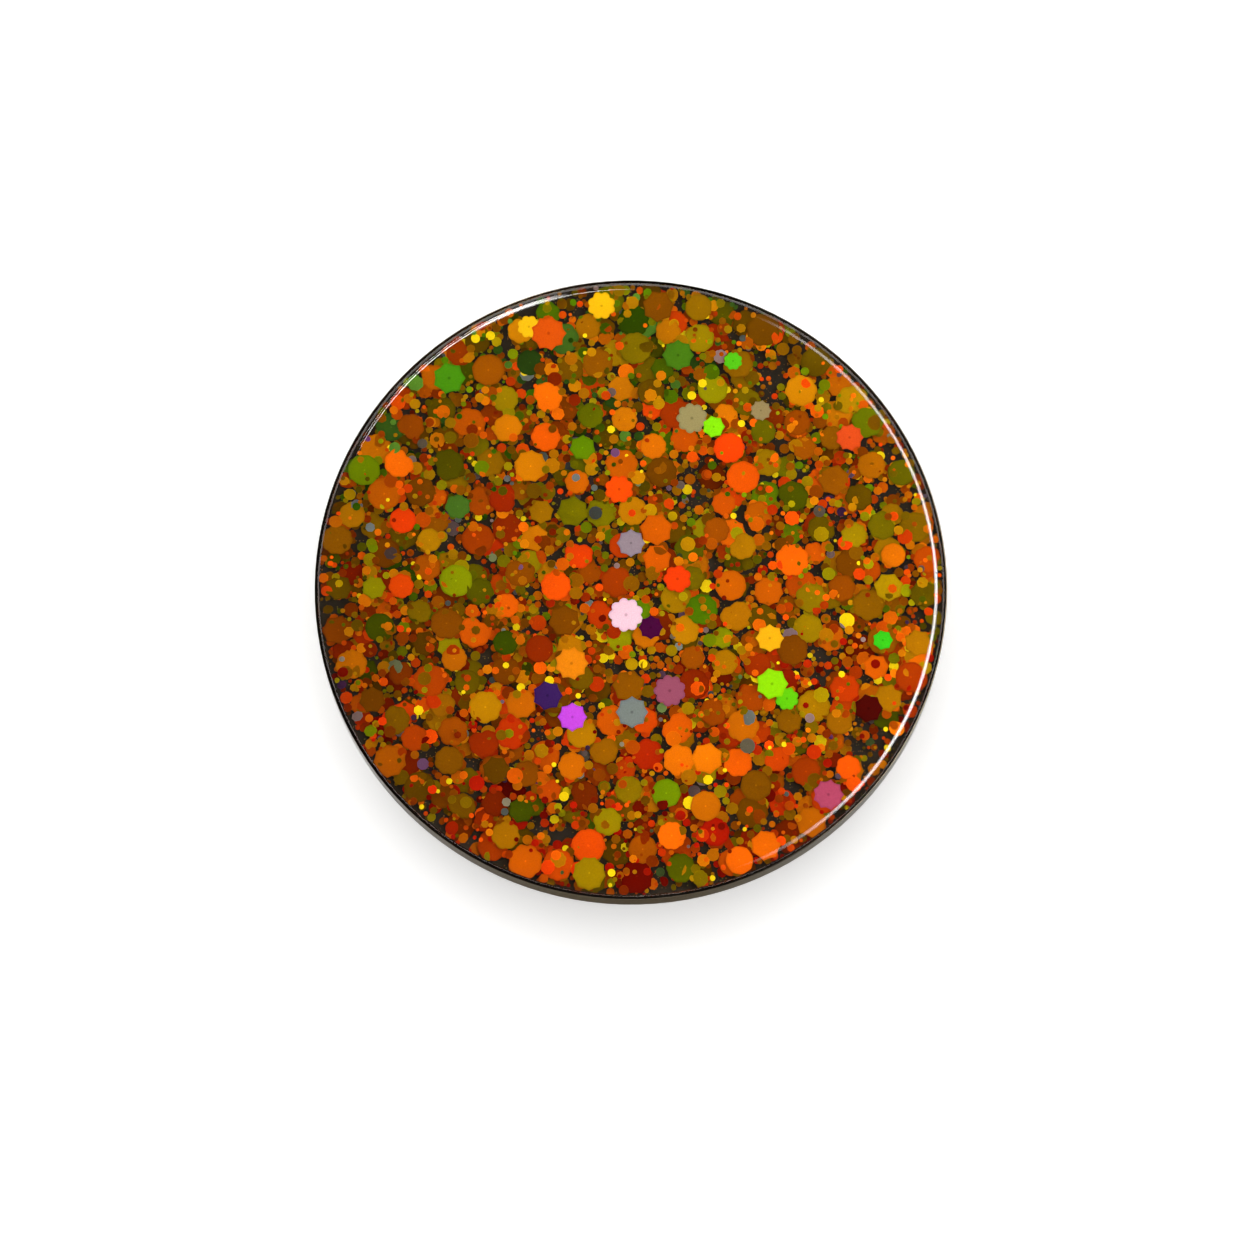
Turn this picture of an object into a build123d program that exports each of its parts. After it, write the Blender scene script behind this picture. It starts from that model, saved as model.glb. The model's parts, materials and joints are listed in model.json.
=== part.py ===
from build123d import *
import os

# A round glitter enamel pin with two posts and two butterfly clutches, in millimetres.
#
# Frame: the face looks along +Z. The origin is the centre of the flat ring round the back, which
# is the plane that lies on the cloth. The posts point along -Z, one each side of the centre on X.
# Each clutch's wings point along -Y (front) and +Y (back).

# ---- the pin's face: driving sizes ----
PIN_DIAMETER = 32.0
TRAY_HEIGHT = 2.0
RIM_WIDTH = 0.25
FLOOR_TOP = 1.3
TRAY_EDGE_ROUND = 0.3
RIM_EDGE_ROUND = 0.06
BACK_RING_WIDTH = 0.9
BACK_FIELD_DEPTH = 0.15
GROUND_COAT = 0.2
RIM_SHOWING = 0.15
DOME_HEIGHT = 0.55
DOME_CROWN = 0.14
DOME_SHOULDER = 1.1

# ---- the posts ----
POST_SPACING = 16.0
POST_LENGTH = 8.0
SHANK_RADIUS = 0.55
FLANGE_RADIUS = 1.6
FLANGE_THICKNESS = 0.3
NECK_RADIUS = 0.38
POINT_LENGTH = 1.2
POINT_RADIUS = 0.1
SOLDER_REACH = 0.45
SOLDER_HEIGHT = 0.22
SOLDER_HOLLOW = 0.05

# ---- the butterfly clutches ----
FACE_RADIUS = 5.6
FACE_SHEET = 0.35
FUNNEL_RADIUS = 1.5
FUNNEL_DEPTH = 0.45
NIB_CIRCLE = 3.4
NIB_RADIUS = 0.28
NIB_TOP_RADIUS = 0.07
NIB_COUNT = 3
NIB_TURN = 30.0
CAP_SHEET = 0.3
LIP_OVERLAP = 0.45
BOSS_INSIDE = 2.6
BOSS_DEPTH = 4.65
BOSS_END_ROUND = 1.1
BRIM_ROUND = 0.35
STRIP = 0.35
JAW_HALF_WIDTH = 1.4
PINCH_TRAVEL = 0.25
TONGUE_HALF_WIDTH = 0.8
FOOT_REACH = 0.4
FOOT_THICKNESS = 0.3
WIRE_RADIUS = 0.18
SPRING_OPENING = 80.0
WING_SHOULDER = 3.6
WING_KNEE = 6.0
WING_REACH = 7.4
WING_HALF_WIDTH = 3.4
WING_FLARE = 0.75
WING_BEND = 1.0
WING_NECK_ROUND = 0.6
WING_TIP_ROUND = 1.4
TIP_DROP = 0.15

# ---- clearances ----
TIP_CLEARANCE = 0.15
GUIDE_CLEARANCE = 0.1
GRIP_CLEARANCE = 0.02
LATCH_CLEARANCE = 0.02
SLIDING_CLEARANCE = 0.05
JAW_HEADROOM = 0.1
WINDOW_CLEARANCE = 0.1
TONGUE_CLEARANCE = 0.2
CRIMP_CLEARANCE = 0.05
SPRING_SEAT = 0.02

# ---- heights on the pin, measured from the back ring ----
pin_radius = PIN_DIAMETER / 2
well_radius = pin_radius - RIM_WIDTH
ground_top = FLOOR_TOP + GROUND_COAT
ring_inner = pin_radius - TRAY_EDGE_ROUND - BACK_RING_WIDTH
dome_radius = pin_radius - RIM_SHOWING
flange_bottom = BACK_FIELD_DEPTH - FLANGE_THICKNESS
post_tip = BACK_FIELD_DEPTH - POST_LENGTH

# ---- heights on a clutch, each worked out from the post's tip, which stops in the boss's end ----
boss_floor = post_tip - TIP_CLEARANCE
boss_end = boss_floor - CAP_SHEET
boss_outside = BOSS_INSIDE + CAP_SHEET
brim_bottom = boss_floor + BOSS_DEPTH
brim_top = brim_bottom + CAP_SHEET
face_top = brim_top + FACE_SHEET
clutch_top = face_top + CAP_SHEET
cap_radius = FACE_RADIUS + CRIMP_CLEARANCE + CAP_SHEET
guide_radius = SHANK_RADIUS + GUIDE_CLEARANCE
funnel_bottom = face_top - FUNNEL_DEPTH - FACE_SHEET

# The two jaws are stacked under the funnel, and the post's neck is as long as they need.
upper_jaw_top = funnel_bottom - JAW_HEADROOM
lower_jaw_top = upper_jaw_top - STRIP - SLIDING_CLEARANCE
jaws_bottom = lower_jaw_top - STRIP
neck_top = face_top - TIP_CLEARANCE
neck_bottom = jaws_bottom - SLIDING_CLEARANCE
grip_radius = SHANK_RADIUS + GRIP_CLEARANCE
latch_travel = grip_radius - NECK_RADIUS - LATCH_CLEARANCE
tongue_outer = (BOSS_INSIDE**2 - TONGUE_HALF_WIDTH**2) ** 0.5 - latch_travel - TONGUE_CLEARANCE
tongue_inner = tongue_outer - STRIP
jaw_inner_end = tongue_inner - 2 * PINCH_TRAVEL - SLIDING_CLEARANCE
spring_middle = jaws_bottom - SLIDING_CLEARANCE - WIRE_RADIUS
foot_top = spring_middle - WIRE_RADIUS - SLIDING_CLEARANCE
spring_radius = tongue_inner - SPRING_SEAT - WIRE_RADIUS
wing_tip = boss_end - TIP_DROP


STANDING = (Align.CENTER, Align.CENTER, Align.MIN)


def turned(*corners):
    """Spin a closed outline of (radius, height) corners about Z; a third value rounds a corner."""
    outline = make_face(Polyline(*[c[:2] for c in corners], close=True))
    for radius, height, rounding in [c for c in corners if len(c) == 3]:
        corner = outline.vertices().sort_by_distance((radius, height))[0]
        outline = fillet(corner, rounding)
    return revolve(Plane.XZ * outline, Axis.Z)


def block(x, y, z):
    """A box from three (low, high) pairs."""
    size = [high - low for low, high in (x, y, z)]
    middle = [(high + low) / 2 for low, high in (x, y, z)]
    return Pos(*middle) * Box(*size)


def disc(radius, low, high):
    """A flat round layer between two heights."""
    return Pos(0, 0, low) * Cylinder(radius, high - low, align=STANDING)


# ---- the face ----
def base_tray():
    """Stamped metal tray: a well for the enamel in front, a raised ring round the back."""
    return turned(
        (0, BACK_FIELD_DEPTH),
        (ring_inner, BACK_FIELD_DEPTH),
        (ring_inner, 0),
        (pin_radius, 0, TRAY_EDGE_ROUND),
        (pin_radius, TRAY_HEIGHT, RIM_EDGE_ROUND),
        (well_radius, TRAY_HEIGHT),
        (well_radius, FLOOR_TOP),
        (0, FLOOR_TOP),
    )


def epoxy_dome():
    """Clear cap, slightly crowned, whose round shoulder comes down to the rim at a slant.

    The shoulder is a whole quarter round on a wider, deeper disc, of which the part above the rim stays.
    """
    top = TRAY_HEIGHT + DOME_HEIGHT
    sunk = max(DOME_SHOULDER - (DOME_HEIGHT - DOME_CROWN), 0)
    wide_radius = dome_radius + DOME_SHOULDER - (DOME_SHOULDER**2 - sunk**2) ** 0.5
    crown_radius = (dome_radius**2 + DOME_CROWN**2) / (2 * DOME_CROWN)
    ball = Pos(0, 0, top - crown_radius) * Sphere(crown_radius)
    dome = disc(wide_radius, TRAY_HEIGHT - DOME_SHOULDER, top) & ball
    shoulder = dome.edges().filter_by(lambda edge: edge.is_closed).sort_by(Axis.Z)[-1]
    return fillet(shoulder, DOME_SHOULDER) & disc(wide_radius, TRAY_HEIGHT, top)


# ---- the posts ----
def post():
    """Headed nail: a flange on the back of the tray, a shank, a neck for the jaws and a point."""
    point_top = post_tip + POINT_LENGTH
    return turned(
        (0, BACK_FIELD_DEPTH),
        (FLANGE_RADIUS, BACK_FIELD_DEPTH),
        (FLANGE_RADIUS, flange_bottom),
        (SHANK_RADIUS, flange_bottom),
        (SHANK_RADIUS, neck_top),
        (NECK_RADIUS, neck_top),
        (NECK_RADIUS, neck_bottom),
        (SHANK_RADIUS, neck_bottom),
        (SHANK_RADIUS, point_top),
        (POINT_RADIUS, post_tip),
        (0, post_tip),
    )


def solder():
    """Ring of solder that creeps up the flange's edge."""
    corner = (FLANGE_RADIUS, BACK_FIELD_DEPTH)
    on_tray = (FLANGE_RADIUS + SOLDER_REACH, BACK_FIELD_DEPTH)
    on_flange = (FLANGE_RADIUS, BACK_FIELD_DEPTH - SOLDER_HEIGHT)
    hollow = SagittaArc(on_flange, on_tray, SOLDER_HOLLOW)
    return revolve(Plane.XZ * make_face([Line(corner, on_tray), hollow, Line(on_flange, corner)]), Axis.Z)


# ---- the clutches ----
def clutch_face():
    """Stamped disc on the cloth side, with a funnel that guides the post and nibs that hold cloth."""
    disc_part = turned(
        (guide_radius, face_top - FUNNEL_DEPTH),
        (FUNNEL_RADIUS, face_top),
        (FACE_RADIUS, face_top),
        (FACE_RADIUS, brim_top),
        (FUNNEL_RADIUS, brim_top),
        (guide_radius, funnel_bottom),
    )
    nib_height = clutch_top - face_top
    nib = Cone(NIB_RADIUS, NIB_TOP_RADIUS, nib_height, align=STANDING)
    for place in PolarLocations(NIB_CIRCLE, NIB_COUNT, start_angle=NIB_TURN):
        disc_part += Pos(0, 0, face_top) * place * nib
    return disc_part


def clutch_cap():
    """Drawn cap: a lip rolled over the disc's edge, a brim, and a closed boss with two windows."""
    lip_inner = FACE_RADIUS - LIP_OVERLAP
    pocket = FACE_RADIUS + CRIMP_CLEARANCE
    cap = turned(
        (lip_inner, clutch_top),
        (cap_radius, clutch_top, BRIM_ROUND),
        (cap_radius, brim_bottom, BRIM_ROUND),
        (boss_outside, brim_bottom, CAP_SHEET),
        (boss_outside, boss_end, BOSS_END_ROUND),
        (0, boss_end),
        (0, boss_floor),
        (BOSS_INSIDE, boss_floor, BOSS_END_ROUND - CAP_SHEET),
        (BOSS_INSIDE, brim_top),
        (pocket, brim_top),
        (pocket, face_top),
        (lip_inner, face_top),
    )
    half_width = JAW_HALF_WIDTH + WINDOW_CLEARANCE
    for side, jaw_top in wing_sides():
        window = block(
            (-half_width, half_width),
            (0, boss_outside + BRIM_ROUND),
            (jaw_top - STRIP - WINDOW_CLEARANCE, jaw_top + WINDOW_CLEARANCE),
        )
        boss_hollow = disc(BOSS_INSIDE, boss_floor, brim_top)
        cap -= Rot(0, 0, side) * (window - boss_hollow)
    return cap


def wing_sides():
    """Each wing's turn about the post and the height of its jaw: the back one lies on the front one."""
    return (0, upper_jaw_top), (180, lower_jaw_top)


def wing(turn, jaw_top):
    """Spring strip: a jaw with an oblong hole, a tongue and foot for the spring, and a bent wing.

    It is made pointing along +Y and then turned about the post.
    """
    middle = jaw_top - STRIP / 2
    line = FilletPolyline(
        (0, -jaw_inner_end, middle),
        (0, WING_SHOULDER, middle),
        (0, WING_KNEE, wing_tip + WING_FLARE + STRIP / 2),
        (0, WING_REACH, wing_tip + STRIP / 2),
        radius=WING_BEND,
    )
    section = Plane(line @ 0, x_dir=(1, 0, 0), z_dir=line % 0) * Rectangle(2 * WING_HALF_WIDTH, STRIP)
    strip = sweep(section, path=line)

    neck = boss_outside + PINCH_TRAVEL + SLIDING_CLEARANCE
    ear = neck + WING_HALF_WIDTH - JAW_HALF_WIDTH
    right = [
        (JAW_HALF_WIDTH, -jaw_inner_end),
        (JAW_HALF_WIDTH, neck),
        (WING_HALF_WIDTH, ear),
        (WING_HALF_WIDTH, WING_REACH - STRIP / 2),
    ]
    left = [(-x, y) for x, y in reversed(right)]
    plan = make_face(Polyline(*right, *left, close=True))
    corners = plan.vertices().group_by(Axis.Y)
    plan = fillet(corners[1] + corners[2], WING_NECK_ROUND)
    plan = fillet(plan.vertices().group_by(Axis.Y)[-1], WING_TIP_ROUND)
    strip &= Pos(0, 0, wing_tip - STRIP) * extrude(plan, jaw_top - wing_tip + 2 * STRIP)

    open_centre = PINCH_TRAVEL + SLIDING_CLEARANCE
    hole = Rot(0, 0, 90) * SlotCenterToCenter(open_centre, 2 * grip_radius)
    strip -= Pos(0, open_centre / 2, jaw_top - 2 * STRIP) * extrude(hole, 3 * STRIP)

    across = (-TONGUE_HALF_WIDTH, TONGUE_HALF_WIDTH)
    foot_bottom = foot_top - FOOT_THICKNESS
    strip += block(across, (tongue_inner, tongue_outer), (foot_bottom, middle))
    strip += block(across, (tongue_inner - FOOT_REACH, tongue_outer), (foot_bottom, foot_top))
    return Rot(0, 0, turn) * strip


def clutch_spring():
    """Open ring of wire round the post that pushes the two tongues apart."""
    ring = CenterArc((0, 0), spring_radius, SPRING_OPENING / 2, 360 - SPRING_OPENING)
    ring = Pos(0, 0, spring_middle) * ring
    return sweep(Plane(ring @ 0, z_dir=ring % 0) * Circle(WIRE_RADIUS), path=ring)


nodes = {
    "base_tray": base_tray(),
    "black_enamel": disc(well_radius, FLOOR_TOP, ground_top),
    "glitter_coat": disc(well_radius, ground_top, TRAY_HEIGHT),
    "epoxy_dome": epoxy_dome(),
}
for side, x in (("left", -POST_SPACING / 2), ("right", POST_SPACING / 2)):
    place = Pos(x, 0, 0)
    nodes[f"post_{side}"] = place * post()
    nodes[f"solder_{side}"] = place * solder()
    nodes[f"clutch_face_{side}"] = place * clutch_face()
    nodes[f"clutch_cap_{side}"] = place * clutch_cap()
    nodes[f"clutch_spring_{side}"] = place * clutch_spring()
    for end, (turn, jaw_top) in zip(("back", "front"), wing_sides()):
        nodes[f"clutch_wing_{end}_{side}"] = place * wing(turn, jaw_top)

os.makedirs("parts", exist_ok=True)
for name, shape in nodes.items():
    export_step(shape, f"parts/{name}.step")

print(f"cloth gap {-clutch_top:.3f}, cloth seat {flange_bottom:.3f} to {neck_top:.3f}")
print(f"latch travel {latch_travel:.3f}, pinch travel {PINCH_TRAVEL:.3f}, wing tips at {wing_tip:.3f}")
print(f"a clutch is off the post after {clutch_top - post_tip:.3f}")
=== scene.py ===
# %% [markdown]
# # A round glitter enamel pin, finished in Blender
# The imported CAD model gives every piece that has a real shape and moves: the tray, the posts and the two
# butterfly clutches. This file loads it as a fixed frame and adds what CAD can't carry: thousands of loose
# film flakes, the clear body that shuts them in, the spring wires, and a finish for every surface.
# Everything is in metres, in the same frame as the CAD.

# %% The frame
import colorsys
import json
import math

import bmesh
import bpy
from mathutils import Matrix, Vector

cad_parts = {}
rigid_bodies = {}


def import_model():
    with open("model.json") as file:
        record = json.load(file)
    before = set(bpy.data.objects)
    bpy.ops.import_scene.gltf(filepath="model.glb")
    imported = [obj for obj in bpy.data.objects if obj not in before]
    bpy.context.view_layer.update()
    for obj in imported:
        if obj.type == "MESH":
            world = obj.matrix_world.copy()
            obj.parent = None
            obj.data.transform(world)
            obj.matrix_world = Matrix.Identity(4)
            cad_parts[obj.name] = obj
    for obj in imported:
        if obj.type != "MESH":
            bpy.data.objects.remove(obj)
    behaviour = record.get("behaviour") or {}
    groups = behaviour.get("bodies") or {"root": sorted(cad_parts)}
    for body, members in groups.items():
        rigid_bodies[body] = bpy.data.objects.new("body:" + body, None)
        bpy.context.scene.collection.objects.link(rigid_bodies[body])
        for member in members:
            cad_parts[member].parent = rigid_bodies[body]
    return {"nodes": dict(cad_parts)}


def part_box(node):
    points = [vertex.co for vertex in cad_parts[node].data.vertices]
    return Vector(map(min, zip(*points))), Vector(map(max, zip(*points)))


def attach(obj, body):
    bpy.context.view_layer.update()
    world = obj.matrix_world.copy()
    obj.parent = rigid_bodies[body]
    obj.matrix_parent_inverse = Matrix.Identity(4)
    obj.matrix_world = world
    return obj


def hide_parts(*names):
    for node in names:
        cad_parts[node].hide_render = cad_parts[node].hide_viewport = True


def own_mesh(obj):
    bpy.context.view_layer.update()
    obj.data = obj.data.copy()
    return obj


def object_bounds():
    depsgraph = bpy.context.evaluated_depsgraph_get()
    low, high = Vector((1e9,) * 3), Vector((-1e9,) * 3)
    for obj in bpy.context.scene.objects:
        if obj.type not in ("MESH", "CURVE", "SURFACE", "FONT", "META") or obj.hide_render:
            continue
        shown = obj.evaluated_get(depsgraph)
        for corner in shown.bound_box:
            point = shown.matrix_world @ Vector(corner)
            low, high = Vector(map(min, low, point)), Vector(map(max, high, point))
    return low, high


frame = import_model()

scene = bpy.context.scene
MM = 0.001
cad_low, cad_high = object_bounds()
print("CAD box in mm:", [round(v / MM, 2) for v in (*cad_low, *cad_high)])

# %% [markdown]
# ## Sizes that come from the frame
# A finish has to sit exactly where the metal is, so the places are read from the nodes' own boxes. Changing
# the tray in CAD then moves the flakes and the clear body with it.

# %% Places read from the nodes
tray_low, tray_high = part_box("base_tray")
ground_low, ground_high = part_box("black_enamel")
dome_low, dome_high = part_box("epoxy_dome")
tray_radius, well_radius, dome_radius = tray_high[0], ground_high[0], dome_high[0]
ground_top, rim_top, dome_top = ground_high[2], tray_high[2], dome_high[2]
sides = {"left": -1, "right": 1}
post_x = {s: sum(p[0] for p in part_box(f"post_{s}")) / 2 for s in sides}
print(f"well {well_radius / MM:.2f} mm wide in radius, coats {(rim_top - ground_top) / MM:.2f} mm deep")

# %% [markdown]
# ## Small helpers for node trees
# Geometry Nodes and shader trees are both made of nodes, links and socket values. One helper adds a node
# and fills its sockets, whichever kind of tree it is in. Four more stand for the nodes that come back most
# often, so the recipes below stay short enough to read.

# %% Helpers for trees
def add(tree, kind, sockets=None, **settings):
    """Add a node; a socket given another node's output is linked, any other value is set."""
    made = tree.nodes.new(kind)
    for key, value in settings.items():
        setattr(made, key, value)
    for key, value in (sockets or {}).items():
        if isinstance(value, bpy.types.NodeSocket):
            tree.links.new(value, made.inputs[key])
        else:
            made.inputs[key].default_value = value
    return made


def maths(tree, operation, *values):
    """A Math node's result, from numbers or other nodes' outputs."""
    return add(tree, "ShaderNodeMath", dict(enumerate(values)), operation=operation).outputs[0]


def map_range(tree, value, low, high, to_low=0.0, to_high=1.0):
    """A Map Range node's result: a value carried from one span over to another."""
    sockets = {0: value, 1: low, 2: high, 3: to_low, 4: to_high}
    return add(tree, "ShaderNodeMapRange", sockets).outputs[0]


def blend(tree, factor, first, second):
    """A Mix node's result, between two colours."""
    return add(tree, "ShaderNodeMix", {0: factor, 6: first, 7: second}, data_type="RGBA").outputs[2]


def along(tree, place, direction):
    """How far a place lies along a direction, from a Dot Product."""
    product = add(tree, "ShaderNodeVectorMath", {0: place, 1: direction}, operation="DOT_PRODUCT")
    return product.outputs["Value"]


def new_group(name, kind, inputs, outputs):
    """An empty node group with named inputs and outputs; an input's third entry is its value."""
    group = bpy.data.node_groups.new(name, kind)
    for label, socket, *value in inputs:
        made = group.interface.new_socket(label, in_out="INPUT", socket_type=f"NodeSocket{socket}")
        if value:
            made.default_value = value[0]
    for label, socket in outputs:
        group.interface.new_socket(label, in_out="OUTPUT", socket_type=f"NodeSocket{socket}")
    return group, group.nodes.new("NodeGroupInput").outputs, group.nodes.new("NodeGroupOutput").inputs


def linear(hex_colour):
    """A colour written as on a paint card, as the linear values that a shader wants."""
    parts = [int(hex_colour[i : i + 2], 16) / 255 for i in (1, 3, 5)]
    return [*(p / 12.92 if p <= 0.04045 else ((p + 0.055) / 1.055) ** 2.4 for p in parts), 1.0]


print("helpers ready")

# %% [markdown]
# ## Shader groups that several finishes share
# Cheap plated metal is never perfectly even. *Handling* mixes broad, soft smudges with fine scratches, and
# gives one mask that any finish can use for its roughness. *Grain* is a fine random height, used for cast,
# etched and sprayed surfaces. Both read Object coordinates, so they stay on the piece when it moves.

# %% Shared shader groups
def handling_group():
    """Smudges and hairline scratches: a mask from 0, clean, to 1, handled."""
    group, given, result = new_group(
        "Handling", "ShaderNodeTree",
        [("Place", "Vector"), ("Smudge scale", "Float", 220.0), ("Scratch scale", "Float", 900.0),
         ("Scratches", "Float", 0.5)],
        [("Mask", "Float"), ("Height", "Float")],
    )
    smudge = add(group, "ShaderNodeTexNoise",
                 {"Vector": given["Place"], "Scale": given["Smudge scale"], "Detail": 4.0})
    stretch = add(group, "ShaderNodeMapping",
                  {"Vector": given["Place"], "Rotation": (0.3, 0.5, 0.6), "Scale": (1.0, 14.0, 6.0)})
    lines = add(group, "ShaderNodeTexNoise",
                {"Vector": stretch.outputs[0], "Scale": given["Scratch scale"], "Detail": 3.0})
    sharp = map_range(group, lines.outputs[0], 0.56, 0.72)
    soft = map_range(group, smudge.outputs[0], 0.35, 0.7)
    scratches = maths(group, "MULTIPLY", sharp, given["Scratches"])
    group.links.new(maths(group, "MAXIMUM", soft, scratches), result["Mask"])
    group.links.new(maths(group, "MULTIPLY", scratches, -1.0), result["Height"])
    return group


def grain_group():
    """A fine random height between 0 and 1, in two sizes of grain."""
    group, given, result = new_group(
        "Grain", "ShaderNodeTree",
        [("Place", "Vector"), ("Coarse", "Float", 2500.0), ("Fine", "Float", 9000.0)],
        [("Height", "Float")],
    )
    coarse = add(group, "ShaderNodeTexNoise",
                 {"Vector": given["Place"], "Scale": given["Coarse"], "Detail": 2.0})
    fine = add(group, "ShaderNodeTexVoronoi", {"Vector": given["Place"], "Scale": given["Fine"]})
    both = maths(group, "ADD", maths(group, "MULTIPLY", coarse.outputs[0], 0.7),
                 maths(group, "MULTIPLY", fine.outputs[0], 0.4))
    group.links.new(both, result["Height"])
    return group


handling, grain = handling_group(), grain_group()
print("shader groups:", handling.name, grain.name)

# %% [markdown]
# ## Plated and bright metals
# A plated pin has no paint: its colour is the metal's own reflection. So each metal is one Principled
# shader with Metallic at 1, a base colour that wears a little where hands and cloth rub it, and a roughness
# driven by the handling mask. The same recipe with other values gives black nickel, bright nickel, steel
# and solder.

# %% A recipe for metals
def metal(name, colour, worn, rough, worn_rough, smudge=220.0, scratches=0.5, bump=0.02, grain_depth=0.0,
          grain_scale=2500.0, edge="#ffffff"):
    """A metal whose colour and roughness change with handling; `edge` tints its grazing glare."""
    made = bpy.data.materials.new(name)
    made.use_nodes = True
    tree = made.node_tree
    shader = tree.nodes["Principled BSDF"]
    place = add(tree, "ShaderNodeTexCoord").outputs["Object"]
    mask = add(tree, "ShaderNodeGroup", node_tree=handling)
    tree.links.new(place, mask.inputs["Place"])
    mask.inputs["Smudge scale"].default_value = smudge
    mask.inputs["Scratches"].default_value = scratches
    mixed = blend(tree, mask.outputs["Mask"], linear(colour), linear(worn))
    tree.links.new(mixed, shader.inputs["Base Color"])
    rub = map_range(tree, mask.outputs["Mask"], 0.0, 1.0, rough, worn_rough)
    tree.links.new(rub, shader.inputs["Roughness"])
    shader.inputs["Metallic"].default_value = 1.0
    shader.inputs["Specular Tint"].default_value = linear(edge)
    grains = add(tree, "ShaderNodeGroup", node_tree=grain)
    tree.links.new(place, grains.inputs["Place"])
    grains.inputs["Coarse"].default_value = grain_scale
    grains.inputs["Fine"].default_value = grain_scale * 3.5
    height = maths(tree, "ADD", maths(tree, "MULTIPLY", mask.outputs["Height"], bump),
                   maths(tree, "MULTIPLY", grains.outputs["Height"], grain_depth))
    dents = add(tree, "ShaderNodeBump", {"Height": height, "Strength": 1.0, "Distance": MM})
    tree.links.new(dents.outputs[0], shader.inputs["Normal"])
    return made


black_nickel = metal("black_nickel", "#5e574c", "#70675a", 0.09, 0.2, bump=0.005, grain_depth=0.0003,
                     edge="#776f60")
etched_nickel = metal("etched_black_nickel", "#4c4844", "#6b645c", 0.26, 0.4, grain_depth=0.004,
                      grain_scale=5000.0, edge="#8a8178")
post_steel = metal("post_steel", "#b9b4ab", "#d2cdc4", 0.16, 0.34, smudge=500.0, scratches=0.9, bump=0.004)
solder_finish = metal("solder", "#8f8d89", "#b2b0ab", 0.34, 0.5, smudge=900.0, grain_depth=0.012)
cap_nickel = metal("clutch_nickel", "#cfcac2", "#b7b2aa", 0.1, 0.24, scratches=0.7, bump=0.002)
wing_nickel = metal("wing_nickel", "#c6c1b9", "#aca79f", 0.3, 0.44, smudge=420.0, scratches=1.0, bump=0.004)
spring_steel = metal("spring_steel", "#a5a19b", "#8c8883", 0.2, 0.36, smudge=1500.0)
metals = (black_nickel, etched_nickel, post_steel, solder_finish, cap_nickel, wing_nickel, spring_steel)
print("metals:", ", ".join(m.name for m in metals))

# %% [markdown]
# ## The ground coat
# Between the flakes the eye falls on a coat of very dark, slightly brown enamel. It is matt under the clear
# enamel and full of the dust that breaks off the flakes, so a fine Voronoi pattern scatters tiny dull
# specks on it.

# %% Ground coat
DUST_SCALE = 11000.0  # cells per metre, so a speck is under a tenth of a millimetre
DUST_SIZE = 0.34  # as a share of its cell
DUST_SHARE = 0.13  # of all cells


def ground_finish():
    """Brown-black enamel with glitter dust in it."""
    made = bpy.data.materials.new("black_enamel")
    made.use_nodes = True
    tree = made.node_tree
    shader = tree.nodes["Principled BSDF"]
    place = add(tree, "ShaderNodeTexCoord").outputs["Object"]
    cells = add(tree, "ShaderNodeTexVoronoi", {"Vector": place, "Scale": DUST_SCALE})
    chosen = add(tree, "ShaderNodeSeparateColor", {0: cells.outputs["Color"]})
    near = maths(tree, "LESS_THAN", cells.outputs["Distance"], DUST_SIZE)
    dust = maths(tree, "MULTIPLY", near, maths(tree, "GREATER_THAN", chosen.outputs[0], 1 - DUST_SHARE))
    cloud = add(tree, "ShaderNodeTexNoise", {"Vector": place, "Scale": 900.0, "Detail": 5.0})
    dark = blend(tree, cloud.outputs[0], linear("#120d06"), linear("#261c0b"))
    tint = blend(tree, chosen.outputs[1], linear("#6f3c08"), linear("#4b4a12"))
    tree.links.new(blend(tree, dust, dark, tint), shader.inputs["Base Color"])
    shader.inputs["Roughness"].default_value = 0.7
    shader.inputs["Specular IOR Level"].default_value = 0.1
    return made


black_enamel = ground_finish()
print("ground coat:", len(black_enamel.node_tree.nodes), "nodes")

# %% [markdown]
# ## Glitter film
# Glitter is thin polyester film, coated so that it mirrors one colour, and cut into small scalloped discs.
# Each flake has one flat colour. Geometry Nodes give each flake two random numbers, *pick* and *shade*:
# pick chooses its place in a ramp that runs from scarlet through orange and ochre to olive and green, with
# a few odd colours at its end, and shade is painted light: how much light its tilt sends up, painted into
# its colour. A third value, *rim*, runs from 0 at the flake's centre to 1 at its edge, for the small dent
# that the cutter leaves in the middle and for the cut edge, which is drawn darker on large flakes and given
# a painted highlight on small ones.

# %% The film's colours
# Each entry: where the ramp reaches the hue, the hue in degrees, and how bright that film is.
HUES = (
    (0.00, 8, 0.80), (0.020, 14, 0.98), (0.150, 20, 1.00), (0.315, 26, 1.00), (0.475, 32, 0.92),
    (0.630, 38, 0.83), (0.750, 44, 0.75), (0.820, 50, 0.70), (0.86, 56, 0.66), (0.89, 62, 0.63),
    (0.918, 70, 0.61), (0.950, 79, 0.59), (0.966, 88, 0.56),
)
LAST_HUE = 0.966
ODD_FILMS = ((0.974, "#a2787f"), (0.981, "#8d8464"), (0.988, "#7d3f7c"), (0.994, "#82897f"))


def paint_ramp(ramp):
    """Fill a colour ramp with the film's hues and then the odd films, as steps at the end."""
    stops = []
    for at, hue, bright in HUES:
        card = colorsys.hsv_to_rgb(hue / 360, 0.97, bright)
        stops.append((at, linear("#%02x%02x%02x" % tuple(int(255 * part) for part in card))))
    stops += [(at, linear(colour)) for at, colour in ODD_FILMS]
    while len(ramp.elements) < len(stops):
        ramp.elements.new(1.0)
    for element, (at, colour) in zip(ramp.elements, stops):
        element.position, element.color = at, colour


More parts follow.
